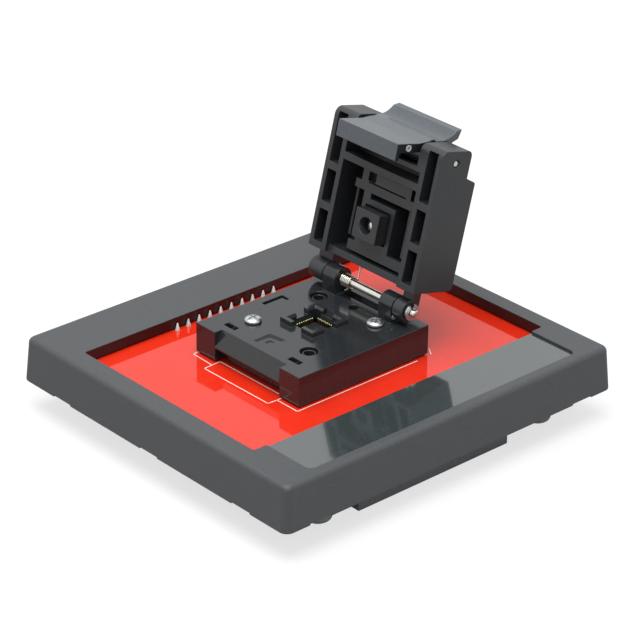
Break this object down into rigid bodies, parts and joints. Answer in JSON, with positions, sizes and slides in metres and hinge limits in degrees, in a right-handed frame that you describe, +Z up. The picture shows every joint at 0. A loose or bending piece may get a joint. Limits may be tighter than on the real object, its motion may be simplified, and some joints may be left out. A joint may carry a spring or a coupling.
{
  "type": "programmer socket module",
  "caption": "Square moulded frame round a red adapter board with a clamshell test socket: sprung hinged lid, latch and pressure block; headers and guide posts below.",
  "frame": {"origin": "below the frame's centre, level with the feet of the two headers", "axes": "+Z up; the label edge of the frame faces -Y; the socket's open lid stands at +X"},
  "size_m": [0.0772, 0.0712, 0.0512],
  "materials": {
    "frame_plastic": "fine matt texture",
    "label_film": "gloss",
    "solder_mask": "gloss",
    "header_plastic": "matt",
    "post_plastic": "matt",
    "socket_plastic": "satin",
    "lid_plastic": "satin",
    "block_plastic": "satin",
    "latch_plastic": "satin",
    "gold_plated_contact": "bright",
    "bright_steel": "bright",
    "spring_wire": "bright drawn wire"
  },
  "bodies": {
    "base": {"housing_frame": "frame_plastic", "label_strip": "label_film", "circuit_board": "solder_mask", "front_header": "header_plastic", "rear_header": "header_plastic", "guide_post_front_left": "post_plastic", "guide_post_front_right": "post_plastic", "guide_post_rear_left": "post_plastic", "guide_post_rear_right": "post_plastic", "socket_base": "socket_plastic", "package_seat": "socket_plastic", "contact_row_front": "gold_plated_contact", "contact_row_hinge": "gold_plated_contact", "contact_row_latch": "gold_plated_contact", "contact_row_rear": "gold_plated_contact", "socket_screw_left": "bright_steel", "socket_screw_right": "bright_steel", "socket_nut_left": "bright_steel", "socket_nut_right": "bright_steel", "hinge_pin": "bright_steel", "hinge_clip": "bright_steel", "stop_pin": "bright_steel", "torsion_spring": "spring_wire"},
    "lid": {"lid_frame": "lid_plastic", "pusher_holder": "lid_plastic", "block_screw": "bright_steel", "latch_pin": "bright_steel"},
    "pressure_block": {"pressure_block": "block_plastic", "pressure_spring": "spring_wire"},
    "latch": {"latch": "latch_plastic", "latch_roll_pin": "bright_steel", "latch_spring": "spring_wire"}
  },
  "joints": [
    {"name": "lid_hinge", "type": "hinge", "parent": "base", "child": "lid", "pos_m": [0.0117, 0.00057, 0.02054], "axis": [0, -1, 0], "range_deg": [0, 104.2], "stiffness_Nm_per_rad": 0.0005, "springref_deg": -34.38},
    {"name": "latch_pivot", "type": "hinge", "parent": "lid", "child": "latch", "pos_m": [0.02007, 0.00057, 0.04708], "axis": [0, 1, 0], "range_deg": [0, 14], "stiffness_Nm_per_rad": 0.0005, "springref_deg": -28.65},
    {"name": "pressure_slide", "type": "slide", "parent": "lid", "child": "pressure_block", "axis": [0.9694, 0, -0.2453], "range_m": [0, 0.0005], "stiffness_N_per_m": 20, "springref_m": -0.002}
  ]
}
